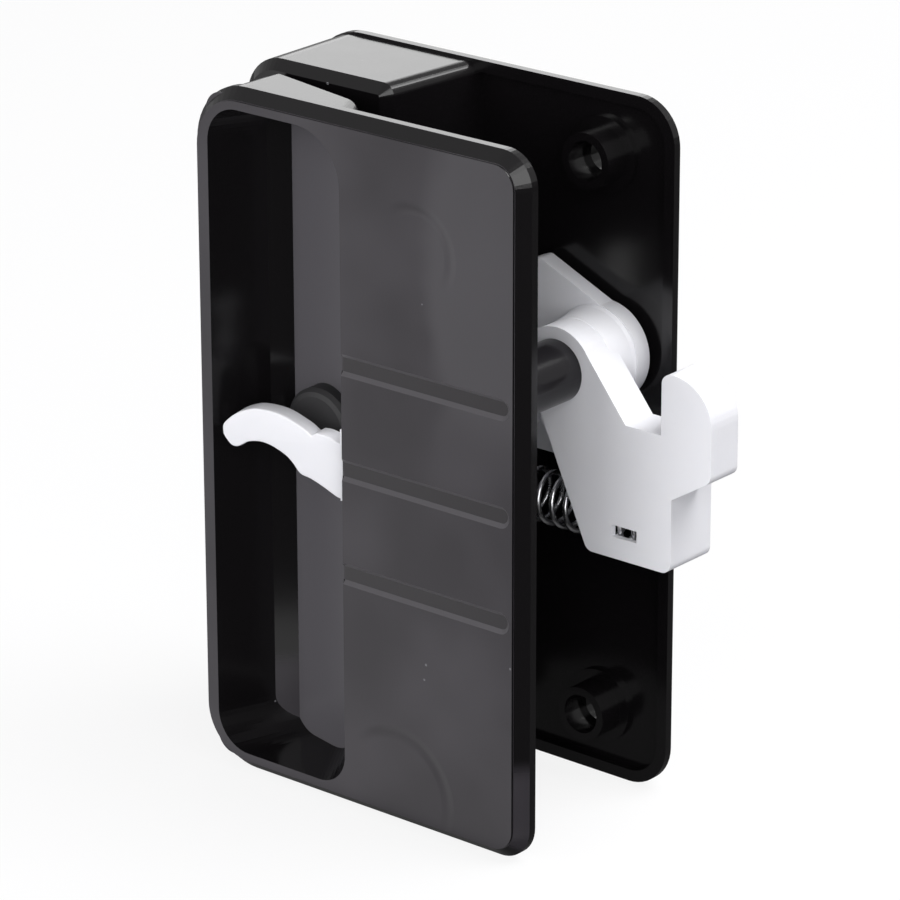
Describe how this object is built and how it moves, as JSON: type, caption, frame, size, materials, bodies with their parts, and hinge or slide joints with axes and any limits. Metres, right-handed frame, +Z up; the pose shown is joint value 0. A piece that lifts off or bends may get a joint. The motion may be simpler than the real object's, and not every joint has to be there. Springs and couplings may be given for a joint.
{
  "type": "sliding screen door latch",
  "caption": "Flush sliding screen door latch with an outer and an inner pull plate, finger pockets, thumb levers, and a sprung nylon hook that pivots on a post between the plates",
  "frame": {"origin": "Middle of the two fixing screws, on the outer surface of the inner plate, where the screw heads bear", "axes": "+Z up along the door stile, +X towards the jamb that the hook reaches, +Y out of the face of the inner plate"},
  "size_m": [0.0842, 0.0384, 0.106],
  "materials": {
    "black_plastic": "semi-gloss moulded black plastic",
    "black_post": "satin moulded black plastic",
    "white_nylon": "satin white nylon",
    "spring_steel": "bright drawn steel wire"
  },
  "bodies": {
    "case": {"front_plate": "black_plastic", "rear_plate": "black_plastic", "pivot_post": "black_post", "return_spring": "spring_steel"},
    "latch": {"latch_hook": "white_nylon", "front_thumb_lever": "white_nylon", "rear_thumb_lever": "white_nylon"}
  },
  "joints": [
    {"name": "latch_pivot", "type": "hinge", "parent": "case", "child": "latch", "pos_m": [0.0018, -0.0096, 0.0141], "axis": [0, 1, 0], "range_deg": [0, 12], "stiffness_Nm_per_rad": 0.12, "springref_deg": -20.05, "deforming": ["return_spring"]}
  ]
}
